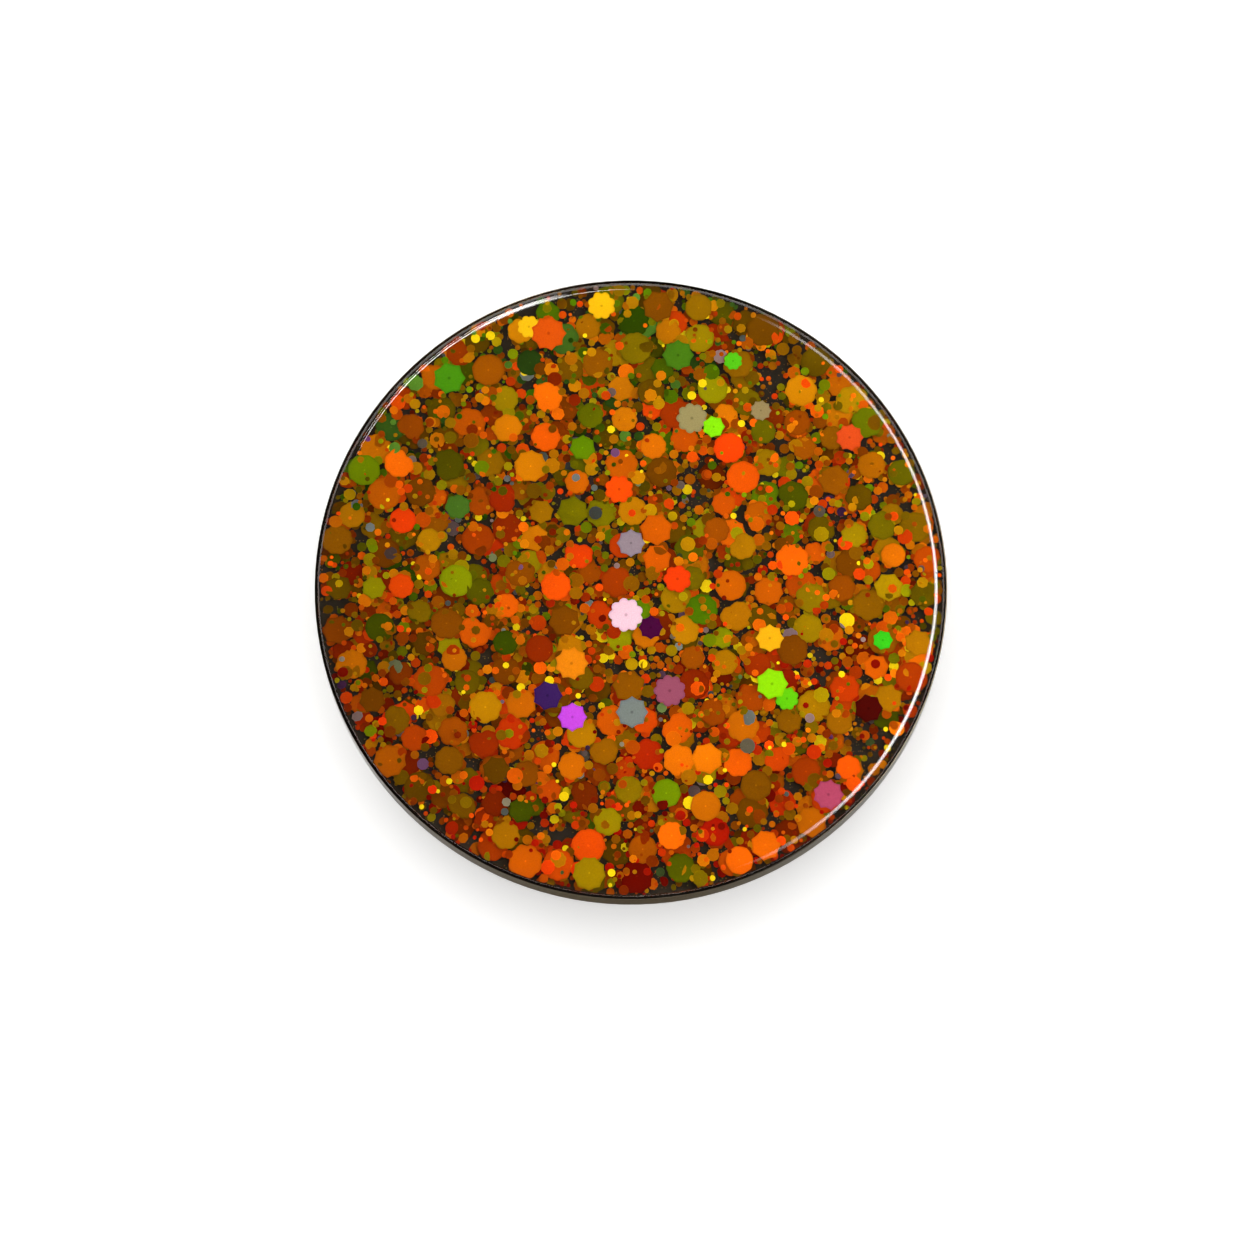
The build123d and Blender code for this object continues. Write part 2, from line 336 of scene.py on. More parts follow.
def film_group():
    """What a flake shows of its film: painted light, painted shade deeper in the coat, centre mark and cut
    edge.
    """
    group, given, result = new_group(
        "Film flake", "ShaderNodeTree",
        [("Colour", "Color"), ("Shade", "Float", 1.0), ("Rim", "Float", 0.5), ("Place", "Vector"),
         ("Darkest", "Float", 0.2), ("Centre mark", "Float", 0.09), ("Mark light", "Float", 1.5),
         ("Edge light", "Float", 0.85)],
        [("Colour", "Color"), ("Height", "Float")],
    )
    height = add(group, "ShaderNodeSeparateXYZ", {0: given["Place"]}).outputs[2]
    # painted shade: flakes deeper in the coat are painted darker, as under the flakes above them
    deep_shade = map_range(group, height, ground_top, rim_top, given["Darkest"], 1.0)
    half_mark = maths(group, "MULTIPLY", given["Centre mark"], 0.5)
    mark = map_range(group, given["Rim"], half_mark, given["Centre mark"], given["Mark light"], 1.0)
    # the cut edge: drawn darker where Edge light is below 1, a painted highlight where it is above 1
    edge = map_range(group, given["Rim"], 0.84, 0.96, 1.0, given["Edge light"])
    speckle = add(group, "ShaderNodeTexNoise", {"Vector": given["Place"], "Scale": 14000.0, "Detail": 2.0})
    fine = map_range(group, speckle.outputs[0], 0.0, 1.0, 0.82, 1.18)
    light = maths(group, "MULTIPLY", maths(group, "MULTIPLY", deep_shade, mark),
                  maths(group, "MULTIPLY", maths(group, "MULTIPLY", edge, fine), given["Shade"]))
    scaled = add(group, "ShaderNodeVectorMath", {0: given["Colour"], 3: light}, operation="SCALE")
    group.links.new(scaled.outputs[0], result["Colour"])
    group.links.new(speckle.outputs[0], result["Height"])
    return group


film = film_group()
print("film ramp:", len(HUES) + len(ODD_FILMS), "stops")

# %% The film's materials
LIT_FROM_RIGHT = (8.0, 1.5, 0.0)  # painted light: the flakes on the right are painted brighter, as if lit more from that side
DULLEST, BRIGHTEST = 0.42, 0.883  # as the eye grades them; to the power below they are shares of light
EYE = 2.2
# painted light: the share of light painted on every chosen flake
CHOSEN_SHADE = 0.68
# painted glint: the colour painted on the flakes that send up the most light
GLINT_COLOUR = "#ffdc10"


def film_material(name, attribute_colour=False, drift=(-3.5, 8.0, 0), odd_from=2.0, darkest=0.3,
                  centre_mark=0.07, mark_light=1.5, edge_light=0.85, glint_from=2.0):
    """Glitter film; its colour comes from the ramp, or from each flake's own colour attribute."""
    made = bpy.data.materials.new(name)
    made.use_nodes = True
    tree = made.node_tree
    shader = tree.nodes["Principled BSDF"]
    place = add(tree, "ShaderNodeTexCoord").outputs["Object"]
    rim = add(tree, "ShaderNodeAttribute", attribute_name="rim").outputs["Fac"]
    flake = add(tree, "ShaderNodeGroup", node_tree=film)
    if attribute_colour:
        colour = add(tree, "ShaderNodeAttribute", attribute_name="film").outputs["Color"]
        flake.inputs["Shade"].default_value = CHOSEN_SHADE
    else:
        pick = add(tree, "ShaderNodeAttribute", attribute_name="pick").outputs["Fac"]
        shade = add(tree, "ShaderNodeAttribute", attribute_name="shade").outputs["Fac"]
        hump = maths(tree, "MULTIPLY", pick, maths(tree, "SUBTRACT", 1.0, pick))
        share = map_range(tree, maths(tree, "MULTIPLY", hump, 4.0), 0.0, 1.0, 0.4, 1.0)
        moved = maths(tree, "ADD", pick, maths(tree, "MULTIPLY", along(tree, place, drift), share))
        common = maths(tree, "MULTIPLY", maths(tree, "MINIMUM", moved, 1.0), LAST_HUE)
        odd = maths(tree, "GREATER_THAN", pick, odd_from)
        on_ramp = add(tree, "ShaderNodeMix", {0: odd, 2: common, 3: pick}).outputs[0]
        ramp = add(tree, "ShaderNodeValToRGB", {0: on_ramp})
        paint_ramp(ramp.color_ramp)
        # painted glint: flakes whose shade passes the threshold are painted bright yellow
        glint = maths(tree, "GREATER_THAN", shade, glint_from)
        colour = blend(tree, glint, ramp.outputs[0], linear(GLINT_COLOUR))
        # painted light: shade is raised towards the right of the pin
        lit_shade = maths(tree, "ADD", shade, along(tree, place, LIT_FROM_RIGHT))
        even = map_range(tree, lit_shade, 0.0, 1.0, DULLEST, BRIGHTEST)
        # painted light: each flake's shade, brighter or darker for its tilt, multiplies its colour
        tree.links.new(maths(tree, "POWER", even, EYE), flake.inputs["Shade"])
    tree.links.new(colour, flake.inputs["Colour"])
    tree.links.new(rim, flake.inputs["Rim"])
    tree.links.new(place, flake.inputs["Place"])
    flake.inputs["Darkest"].default_value = darkest
    flake.inputs["Centre mark"].default_value = centre_mark
    flake.inputs["Mark light"].default_value = mark_light
    flake.inputs["Edge light"].default_value = edge_light
    tree.links.new(flake.outputs["Colour"], shader.inputs["Base Color"])
    shader.inputs["Metallic"].default_value = 0.15
    shader.inputs["Roughness"].default_value = 0.45
    shader.inputs["Specular IOR Level"].default_value = 0.0
    dents = add(tree, "ShaderNodeBump",
                {"Height": flake.outputs["Height"], "Strength": 0.25, "Distance": 0.01 * MM})
    tree.links.new(dents.outputs[0], shader.inputs["Normal"])
    return made


glitter = film_material("glitter_film")
middle_glitter = film_material("middle_glitter_film", drift=(-2.0, 10.0, 0), odd_from=0.968,
                               edge_light=1.15, glint_from=0.985)
fine_glitter = film_material("fine_glitter_film", drift=(-1.5, 13.0, 0), odd_from=0.968,
                             centre_mark=0.001, edge_light=1.3, glint_from=0.965)
chosen_glitter = film_material("chosen_glitter_film", attribute_colour=True, darkest=0.9, centre_mark=0.13,
                               mark_light=0.65)
print("film materials:", glitter.name, fine_glitter.name, chosen_glitter.name)

# %% [markdown]
# ## One flake, as a small Geometry Nodes group
# A flake starts as a circle filled with a triangle fan. Its edge moves in and out with the sine of the
# angle: with *Outward* at 0 the scallops are round lobes with cusps between them, at 1 they are pointed
# teeth with hollow sides. *Bite* takes a piece out of one side, as a dull cutter does. Two fans that share
# one edge close the flake with very few faces, which matters when there are thousands.

# %% The flake group
def flake_group():
    """A scalloped flake of radius 1, closed by two shallow fans."""
    group, given, result = new_group(
        "Scalloped flake", "GeometryNodeTree",
        [("Teeth", "Int", 8), ("Points a tooth", "Int", 4), ("Depth", "Float", 0.12),
         ("Outward", "Float", 0.0), ("Bite", "Float", 0.0), ("Thickness", "Float", 0.03)],
        [("Geometry", "Geometry")],
    )
    corners = maths(group, "MULTIPLY", given["Teeth"], given["Points a tooth"])
    circle = add(group, "GeometryNodeMeshCircle", {"Vertices": corners, "Radius": 1.0},
                 fill_type="TRIANGLE_FAN")
    position = add(group, "GeometryNodeInputPosition").outputs[0]
    x, y, _ = add(group, "ShaderNodeSeparateXYZ", {0: position}).outputs
    reach = add(group, "ShaderNodeVectorMath", {0: position}, operation="LENGTH").outputs["Value"]
    kept = add(group, "GeometryNodeStoreNamedAttribute",
               {"Geometry": circle.outputs[0], "Name": "rim", "Value": reach},
               data_type="FLOAT", domain="POINT")
    angle = maths(group, "ARCTAN2", y, x)
    half_turns = maths(group, "MULTIPLY", angle, maths(group, "MULTIPLY", given["Teeth"], 0.5))
    wave = maths(group, "ABSOLUTE", maths(group, "SINE", half_turns))
    hollow = maths(group, "SUBTRACT", 1.0, wave)
    inward = add(group, "ShaderNodeMix", {0: given["Outward"], 2: hollow, 3: wave}).outputs[0]
    edge = maths(group, "SUBTRACT", 1.0, maths(group, "MULTIPLY", inward, given["Depth"]))
    facing = maths(group, "POWER", maths(group, "MAXIMUM", maths(group, "COSINE", angle), 0.0), 6.0)
    bitten = maths(group, "MULTIPLY", edge,
                   maths(group, "SUBTRACT", 1.0, maths(group, "MULTIPLY", facing, given["Bite"])))
    half = maths(group, "MULTIPLY", given["Thickness"], 0.5)
    lift = maths(group, "MULTIPLY", maths(group, "SUBTRACT", 1.0, reach), half)
    shapes = []
    for sign in (1.0, -1.0):
        spot = add(group, "ShaderNodeCombineXYZ", {0: maths(group, "MULTIPLY", x, bitten),
                                                   1: maths(group, "MULTIPLY", y, bitten),
                                                   2: maths(group, "MULTIPLY", lift, sign)}).outputs[0]
        shapes.append(add(group, "GeometryNodeSetPosition", {"Geometry": kept.outputs[0], "Position": spot}))
    under = add(group, "GeometryNodeFlipFaces", {"Mesh": shapes[1].outputs[0]})
    joined = add(group, "GeometryNodeJoinGeometry")
    for part in (under, shapes[0]):
        group.links.new(part.outputs[0], joined.inputs[0])
    closed = add(group, "GeometryNodeMergeByDistance", {"Geometry": joined.outputs[0], "Distance": 0.002})
    group.links.new(closed.outputs[0], result["Geometry"])
    return group


one_flake = flake_group()
print("flake group inputs:", [i.name for i in one_flake.interface.items_tree if i.in_out == "INPUT"])

# %% [markdown]
# ## Scattering flakes in the clear enamel
# Loose glitter sinks at random and comes to rest nearly flat. The tree scatters points on a disc as wide as
# the well, no two closer than *Spacing*, lifts each to a random height in the enamel, and drops a random
# flake on it, turned, tilted and scaled. Glitter also clumps as it sinks. A soft noise, the same for every
# cut, takes away the points where it is below *Gaps*, which leaves patches of bare ground coat between the
# clumps. Every random step has its own seed, so each run gives the same pin.

# %% The scatter tree
FLAKE_SHAPES = {
    "lobes": dict(Teeth=8, Depth=0.09), "many lobes": dict(Teeth=10, Depth=0.07),
    "teeth": dict(Teeth=9, Depth=0.11, Outward=1.0), "star": dict(Teeth=7, Depth=0.15, Outward=1.0),
    "few lobes": dict(Teeth=7, Depth=0.11), "bitten": dict(Teeth=8, Depth=0.08, Bite=0.3),
    "nearly round": dict(Teeth=9, Depth=0.04), "half teeth": dict(Teeth=8, Depth=0.08, Outward=0.8),
}


def scatter_tree(name, shapes, points_a_tooth, material, thickness):
    """Flakes scattered on a disc; `shapes` names the cuts that are mixed."""
    tree, given, result = new_group(
        name, "GeometryNodeTree",
        [("Field radius", "Float"), ("Spacing", "Float"), ("Density", "Float"), ("Low", "Float"),
         ("High", "Float"), ("Smallest", "Float"), ("Largest", "Float"), ("Tilt", "Float"),
         ("Gaps", "Float"), ("Seed", "Int")],
        [("Geometry", "Geometry")],
    )

    def random(kind, offset, low, high):
        """A random value for each point; the offset keeps its seed apart from the others'."""
        seed = maths(tree, "ADD", given["Seed"], offset)
        made = add(tree, "FunctionNodeRandomValue", {"Seed": seed}, data_type=kind)
        ends = {"FLOAT": (2, 3, 1), "FLOAT_VECTOR": (0, 1, 0), "INT": (4, 5, 2)}[kind]
        for socket, value in zip(ends, (low, high)):
            if isinstance(value, bpy.types.NodeSocket):
                tree.links.new(value, made.inputs[socket])
            else:
                made.inputs[socket].default_value = value
        return made.outputs[ends[2]]

    field = add(tree, "GeometryNodeMeshCircle", {"Vertices": 96, "Radius": given["Field radius"]},
                fill_type="NGON")
    points = add(tree, "GeometryNodeDistributePointsOnFaces",
                 {"Mesh": field.outputs[0], "Distance Min": given["Spacing"],
                  "Density Max": given["Density"], "Seed": given["Seed"]}, distribute_method="POISSON")
    spot = add(tree, "GeometryNodeInputPosition").outputs[0]
    clumps = add(tree, "ShaderNodeTexNoise", {"Vector": spot, "Scale": 330.0, "Detail": 2.0}).outputs[0]
    ragged = random("FLOAT", 7, given["Gaps"], maths(tree, "ADD", given["Gaps"], 0.04))
    bare = maths(tree, "LESS_THAN", clumps, ragged)
    kept = add(tree, "GeometryNodeDeleteGeometry", {"Geometry": points.outputs[0], "Selection": bare},
               domain="POINT")
    rise = add(tree, "ShaderNodeCombineXYZ", {2: random("FLOAT", 1, given["Low"], given["High"])}).outputs[0]
    lifted = add(tree, "GeometryNodeSetPosition", {"Geometry": kept.outputs[0], "Offset": rise})
    cuts = add(tree, "GeometryNodeGeometryToInstance")
    for shape in shapes:
        cut = add(tree, "GeometryNodeGroup", node_tree=one_flake)
        for label, value in dict(FLAKE_SHAPES[shape], Thickness=thickness).items():
            cut.inputs[label].default_value = value
        cut.inputs["Points a tooth"].default_value = points_a_tooth
        tree.links.new(cut.outputs[0], cuts.inputs[0])
    tilt = given["Tilt"]
    back = maths(tree, "MULTIPLY", tilt, -1.0)
    tilted = add(tree, "ShaderNodeCombineXYZ", {0: back, 1: back}).outputs[0]
    turned = add(tree, "ShaderNodeCombineXYZ", {0: tilt, 1: tilt, 2: 2 * math.pi}).outputs[0]
    turn = add(tree, "FunctionNodeEulerToRotation", {0: random("FLOAT_VECTOR", 2, tilted, turned)})
    flakes = add(tree, "GeometryNodeInstanceOnPoints",
                 {"Points": lifted.outputs[0], "Instance": cuts.outputs[0], "Pick Instance": True,
                  "Instance Index": random("INT", 3, 0, len(shapes) - 1), "Rotation": turn.outputs[0],
                  "Scale": random("FLOAT", 4, given["Smallest"], given["Largest"])})
    last = flakes
    for offset, label in ((5, "pick"), (6, "shade")):
        last = add(tree, "GeometryNodeStoreNamedAttribute",
                   {"Geometry": last.outputs[0], "Name": label, "Value": random("FLOAT", offset, 0.0, 1.0)},
                   data_type="FLOAT", domain="INSTANCE")
    real = add(tree, "GeometryNodeRealizeInstances", {"Geometry": last.outputs[0]})
    coated = add(tree, "GeometryNodeSetMaterial", {"Geometry": real.outputs[0], "Material": material})
    tree.links.new(coated.outputs[0], result["Geometry"])
    return tree


def grow(name, tree, settings):
    """Run a tree on an empty mesh and keep the result as a plain mesh."""
    holder = bpy.data.objects.new(name, bpy.data.meshes.new(name))
    scene.collection.objects.link(holder)
    modifier = holder.modifiers.new(name, "NODES")
    modifier.node_group = tree
    for item in tree.interface.items_tree:
        if item.in_out == "INPUT" and item.name in settings:
            modifier[item.identifier] = settings[item.name]
    depsgraph = bpy.context.evaluated_depsgraph_get()
    mesh = bpy.data.meshes.new_from_object(holder.evaluated_get(depsgraph), preserve_all_data_layers=True,
                                           depsgraph=depsgraph)
    holder.modifiers.clear()
    holder.data = mesh
    mesh.name = name
    print(f"{name}: {len(mesh.polygons)} faces")
    return holder


print("cuts:", ", ".join(FLAKE_SHAPES))

# %% [markdown]
# ## Four cuts of flake
# Glitter mixes are sold with several cut sizes together. The large flakes lead, in two layers, and the
# smaller cuts fill what is left, over them and under them. Thickness is given as a share of a flake's
# radius.

# %% The flakes
SQUARE_MM = 1e6  # densities below are flakes per square millimetre
EDGE_CLEAR = 0.8  # how far a cut keeps from the well's wall, as a share of its largest radius
FIRST_SEED = 40
scallops = ("lobes", "many lobes", "teeth", "star", "few lobes", "bitten", "nearly round", "half teeth")
large_tree = scatter_tree("Large flakes", scallops, 4, glitter, 0.03)
medium_tree = scatter_tree("Medium flakes", ("lobes", "few lobes", "nearly round", "half teeth"), 3,
                           middle_glitter, 0.05)
small_tree = scatter_tree("Small flakes", ("few lobes", "nearly round"), 2, fine_glitter, 0.08)
fine_tree = scatter_tree("Fine flakes", ("nearly round",), 1, fine_glitter, 0.15)

cuts = (
    # name, tree, spacing, density, lowest and highest over the ground coat, smallest, largest, tilt, gaps
    ("flakes_large_top", large_tree, 1.34, 1.5, 0.34, 0.46, 0.62, 0.86, 0.04, 0.34),
    ("flakes_large_deep", large_tree, 1.2, 1.7, 0.10, 0.32, 0.56, 0.82, 0.05, 0.40),
    ("flakes_medium", medium_tree, 0.52, 2.5, 0.08, 0.45, 0.26, 0.42, 0.08, 0.35),
    ("flakes_small", small_tree, 0.28, 5.8, 0.06, 0.46, 0.15, 0.26, 0.12, 0.28),
    ("flakes_fine", fine_tree, 0.17, 5.6, 0.05, 0.47, 0.08, 0.15, 0.2, 0.20),
)
flakes = []
for seed, (name, tree, spacing, density, low, high, smallest, largest, tilt, gaps) in enumerate(cuts):
    flakes.append(grow(name, tree, {
        "Field radius": well_radius - EDGE_CLEAR * largest * MM, "Spacing": spacing * MM,
        "Density": density * SQUARE_MM, "Low": ground_top + low * MM, "High": ground_top + high * MM,
        "Smallest": smallest * MM, "Largest": largest * MM, "Tilt": tilt, "Gaps": gaps,
        "Seed": FIRST_SEED + 10 * seed,
    }))

# %% [markdown]
# ## The flakes that catch the eye
# A random scatter never gives the few odd flakes that make this pin: a pale pink one at the centre, neon
# greens, violets and greys. These are listed, in millimetres from the centre, on top of the others.

# %% Chosen flakes
# Each entry: across, up, radius, teeth, and the film's colour.
CHOSEN = (
    (-0.25, -1.5, 0.88, 9, "#ffd2e2"), (1.0, -2.15, 0.62, 8, "#4a0a3c"), (0.0, 2.2, 0.72, 8, "#9a8b94"),
    (2.35, 0.35, 0.72, 7, "#f4400a"), (-4.2, -5.65, 0.76, 7, "#3b1f5c"), (-2.95, -6.75, 0.74, 8, "#cc4ce6"),
    (1.95, -5.4, 0.82, 9, "#9c5068"), (0.05, -6.5, 0.82, 8, "#7d8680"), (7.1, -5.05, 0.82, 7, "#96e80c"),
    (7.85, -5.8, 0.6, 8, "#66d010"), (12.7, -2.8, 0.52, 7, "#3ccf1c"), (4.2, 8.25, 0.58, 7, "#8cf010"),
    (5.2, 11.7, 0.48, 8, "#58c818"), (-9.25, 10.8, 0.84, 7, "#4a9010"), (2.4, 12, 0.82, 8, "#4a7c14"),
    (3.1, 8.7, 0.8, 9, "#a09460"), (11.95, -6.3, 0.74, 7, "#4c0804"), (9.9, -10.7, 0.78, 9, "#b84a68"),
    (-1.5, 14.6, 0.72, 8, "#fcc010"), (7.0, -2.7, 0.72, 8, "#ffba14"), (-3.0, -4, 0.86, 9, "#f08a10"),
    (-0.6, 5, 0.74, 8, "#fa5008"), (11.1, 7.7, 0.72, 9, "#e4501c"), (6.6, 9.1, 0.55, 9, "#a08c5c"),
    (-5.2, 13.5, 0.6, 8, "#ffc414"), (-4.2, 13.15, 0.92, 9, "#e0560c"),
)


def chosen_flakes(name):
    """The listed flakes, each closed by two shallow fans and carrying its own colour."""
    mesh = bmesh.new()
    rim = mesh.verts.layers.float.new("rim")
    colour_layer = mesh.verts.layers.float_color.new("film")
    for index, (x, y, radius, teeth, colour) in enumerate(CHOSEN):
        points, centre = 4 * teeth, Vector((x * MM, y * MM, rim_top + (0.02 * (index % 3) - 0.01) * MM))
        ring = []
        for k in range(points):
            angle = 2 * math.pi * k / points
            wave = abs(math.sin(angle * teeth / 2))
            reach = radius * MM * (1 - 0.16 * (wave if index % 3 else 1 - wave))
            ring.append(mesh.verts.new(centre + Vector((math.cos(angle), math.sin(angle), 0)) * reach))
        top, bottom = (mesh.verts.new(centre + Vector((0, 0, s * 0.01 * MM))) for s in (1, -1))
        for k in range(points):
            mesh.faces.new((ring[k], ring[(k + 1) % points], top))
            mesh.faces.new((ring[(k + 1) % points], ring[k], bottom))
        for vert in (*ring, top, bottom):
            vert[rim] = 0.0 if vert in (top, bottom) else 1.0
            vert[colour_layer] = linear(colour)
    made = bpy.data.meshes.new(name)
    mesh.to_mesh(made)
    mesh.free()
    made.materials.append(chosen_glitter)
    piece = bpy.data.objects.new(name, made)
    scene.collection.objects.link(piece)
    print(f"{name}: {len(CHOSEN)} flakes")
    return piece


flakes.append(chosen_flakes("flakes_chosen"))

# %% [markdown]
# ## The clear body
# The flakes lie in clear enamel, and clear epoxy is flowed over it until it domes. Both are the same
# glass-like stuff, so they are one closed solid here, turned from one outline. Splitting them would put two
# surfaces on each other, which shows as dark speckle. Where it meets the ground coat and the rim it reaches
# a hair into them.

# %% The clear body's outline and material
CROWN = 0.14 * MM
SHOULDER = 1.1 * MM
HAIR = 0.02 * MM


def clear_outline():
    """Radius and height along the outline, from the middle of the crown out, down and back in."""
    base = dome_radius - 0.0115 * MM
    ball = (base**2 + CROWN**2) / (2 * CROWN)
    sunk = SHOULDER - (dome_top - rim_top - CROWN)
    arc_r = base - math.sqrt(SHOULDER**2 - sunk**2)
    arc_z = dome_top - ball + math.sqrt((ball - SHOULDER) ** 2 - arc_r**2)
    first = math.asin(arc_r / (ball - SHOULDER))
    last = math.acos((rim_top - HAIR - arc_z) / SHOULDER)
    crown_turns = [first * k / 12 for k in range(13)]
    crown = [(ball * math.sin(t), dome_top - ball * (1 - math.cos(t))) for t in crown_turns]
    turns = [first + (last - first) * k / 40 for k in range(1, 41)]
    shoulder = [(arc_r + SHOULDER * math.sin(t), arc_z + SHOULDER * math.cos(t)) for t in turns]
    print(f"the shoulder meets the rim at {math.degrees(last):.0f} degrees")
    wall, low = well_radius + HAIR, ground_top - HAIR
    return [*crown, *shoulder, (wall, rim_top - HAIR), (wall, low), (0.0, low)]


def turned_mesh(name, outline, steps):
    """Turn an outline about Z into a closed mesh, with one vertex at each pole."""
    mesh = bmesh.new()
    rings = []
    for radius, height in outline:
        if radius < 1e-9:
            rings.append([mesh.verts.new((0, 0, height))])
        else:
            angles = [2 * math.pi * k / steps for k in range(steps)]
            spots = [(radius * math.cos(a), radius * math.sin(a), height) for a in angles]
            rings.append([mesh.verts.new(spot) for spot in spots])
    for first, second in zip(rings, rings[1:]):
        for k in range(steps):
            corners = [first[k % len(first)], second[k % len(second)],
                       second[(k + 1) % len(second)], first[(k + 1) % len(first)]]
            mesh.faces.new(list(dict.fromkeys(corners)))
    bmesh.ops.recalc_face_normals(mesh, faces=mesh.faces)
    made = bpy.data.meshes.new(name)
    mesh.to_mesh(made)
    mesh.free()
    piece = bpy.data.objects.new(name, made)
    scene.collection.objects.link(piece)
    return piece


def clear_finish():
    """Clear epoxy: glass that lets lamps through, with a very faint unevenness."""
    made = bpy.data.materials.new("clear_epoxy")
    made.use_nodes = True
    tree = made.node_tree
    shader = tree.nodes["Principled BSDF"]
    shader.inputs["Base Color"].default_value = (1.0, 0.995, 0.98, 1.0)
    shader.inputs["Transmission Weight"].default_value = 1.0
    shader.inputs["IOR"].default_value = 1.5
    shader.inputs["Roughness"].default_value = 0.0
    place = add(tree, "ShaderNodeTexCoord").outputs["Object"]
    waves = add(tree, "ShaderNodeTexNoise", {"Vector": place, "Scale": 260.0, "Detail": 1.0})
    uneven = add(tree, "ShaderNodeBump",
                 {"Height": waves.outputs[0], "Strength": 1.0, "Distance": 0.012 * MM})
    tree.links.new(uneven.outputs[0], shader.inputs["Normal"])
    through = add(tree, "ShaderNodeBsdfTransparent")
    shadow = add(tree, "ShaderNodeLightPath").outputs["Is Shadow Ray"]
    mixed = add(tree, "ShaderNodeMixShader", {0: shadow, 1: shader.outputs[0], 2: through.outputs[0]})
    tree.links.new(mixed.outputs[0], tree.nodes["Material Output"].inputs["Surface"])
    return made


clear_body = turned_mesh("clear_body", clear_outline(), 288)
clear_body.data.polygons.foreach_set("use_smooth", [True] * len(clear_body.data.polygons))
clear_body.data.set_sharp_from_angle(angle=math.radians(40))
clear_body.data.materials.append(clear_finish())
print("clear body:", len(clear_body.data.polygons), "faces")

# %% [markdown]
# ## Pebbles on the back
# The back of a struck pin is usually given a field of small raised dots, which hides marks and grips the
# cloth. It repeats over a surface, so Geometry Nodes make it: a square grid of points, cleared round the
# posts and the ring, with a low closed dot on each.

# %% The pebble tree
def pebble_tree():
    """Rows of low dots on the back field."""
    tree, given, result = new_group(
        "Pebbled back", "GeometryNodeTree",
        [("Field radius", "Float"), ("Pitch", "Float"), ("Dot radius", "Float"), ("Dot height", "Float"),
         ("Field height", "Float"), ("Post place", "Float"), ("Post clear", "Float")],
        [("Geometry", "Geometry")],
    )
    across = maths(tree, "MULTIPLY", given["Field radius"], 2.0)
    count = maths(tree, "ROUND", maths(tree, "DIVIDE", across, given["Pitch"]))
    grid = add(tree, "GeometryNodeMeshGrid", {0: across, 1: across, 2: count, 3: count})
    position = add(tree, "GeometryNodeInputPosition").outputs[0]
    x, y, _ = add(tree, "ShaderNodeSeparateXYZ", {0: position}).outputs
    reach = add(tree, "ShaderNodeVectorMath", {0: position}, operation="LENGTH").outputs["Value"]
    outside = maths(tree, "GREATER_THAN", reach, given["Field radius"])
    from_post = maths(tree, "SUBTRACT", maths(tree, "ABSOLUTE", x), given["Post place"])
    post_reach = maths(tree, "SQRT", maths(tree, "ADD", maths(tree, "POWER", from_post, 2.0),
                                           maths(tree, "POWER", y, 2.0)))
    on_post = maths(tree, "LESS_THAN", post_reach, given["Post clear"])
    away = maths(tree, "MAXIMUM", outside, on_post)
    kept = add(tree, "GeometryNodeDeleteGeometry", {"Geometry": grid.outputs[0], "Selection": away},
               domain="POINT")
    rise = add(tree, "ShaderNodeCombineXYZ", {2: given["Field height"]}).outputs[0]
    lifted = add(tree, "GeometryNodeSetPosition", {"Geometry": kept.outputs[0], "Offset": rise})
    ball = add(tree, "GeometryNodeMeshUVSphere", {"Segments": 10, "Rings": 6, "Radius": 1.0})
    size = add(tree, "ShaderNodeCombineXYZ",
               {0: given["Dot radius"], 1: given["Dot radius"], 2: given["Dot height"]})
    points = add(tree, "GeometryNodeMeshToPoints", {"Mesh": lifted.outputs[0]})
    dots = add(tree, "GeometryNodeInstanceOnPoints",
               {"Points": points.outputs[0], "Instance": ball.outputs[0], "Scale": size.outputs[0]})
    real = add(tree, "GeometryNodeRealizeInstances", {"Geometry": dots.outputs[0]})
    smooth = add(tree, "GeometryNodeSetShadeSmooth", {"Geometry": real.outputs[0]})
    coated = add(tree, "GeometryNodeSetMaterial", {"Geometry": smooth.outputs[0], "Material": etched_nickel})
    tree.links.new(coated.outputs[0], result["Geometry"])
    return tree


solder_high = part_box("solder_left")[1]
back_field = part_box("post_left")[1][2]
pebbles = grow("back_pebbles", pebble_tree(), {
    "Field radius": 14.4 * MM, "Pitch": 0.8 * MM, "Dot radius": 0.26 * MM, "Dot height": 0.07 * MM,
    "Field height": back_field, "Post place": post_x["right"],
    "Post clear": solder_high[0] - post_x["left"] + 0.35 * MM,
})

# %% [markdown]
# ## Spring wires
# Inside each clutch an open ring of wire pushes the two wings apart. When the wings are pinched it flattens
# along Y by as much as they travel. It is made here as a bent wire that rides with its clutch; how much it
# would flatten is worked out, but the wire is not squashed.

# %% The spring wires
SPRING_OPENING = 80.0  # degrees that the ring leaves open, on +X
WING_TRAVEL = 0.25 * MM


